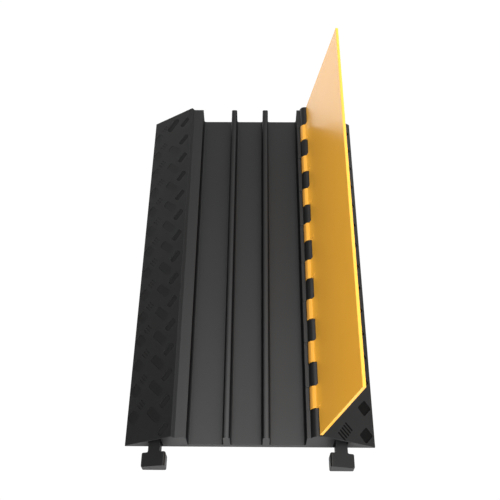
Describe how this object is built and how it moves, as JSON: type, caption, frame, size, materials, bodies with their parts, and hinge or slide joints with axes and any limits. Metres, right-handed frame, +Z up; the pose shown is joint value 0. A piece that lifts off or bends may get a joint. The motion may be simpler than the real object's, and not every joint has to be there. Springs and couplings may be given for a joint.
{
  "type": "floor cord cover with hinged lid",
  "caption": "Drive-over floor cord cover: a ramped rubber base with open cord channels between ribs, a hinged flat lid, and T connectors and sockets for joining covers end to end.",
  "frame": {"origin": "middle of the base's underside, on the floor, halfway between the two end faces and the two ramp edges", "axes": "+X across the channels towards the hinge side, +Y along the channels away from the T connectors, +Z up"},
  "size_m": [0.5, 0.8898, 0.3278],
  "materials": {
    "base_rubber": "matte moulded",
    "lid_plastic": "satin moulded",
    "rod_steel": "drawn bar"
  },
  "bodies": {
    "base": {"base": "base_rubber", "hinge_rod": "rod_steel"},
    "lid": {"lid": "lid_plastic"}
  },
  "joints": [
    {"name": "lid_hinge", "type": "hinge", "parent": "base", "child": "lid", "pos_m": [0.131, 0, 0.0585], "axis": [0, 1, 0], "range_deg": [-101.2, 0]}
  ]
}
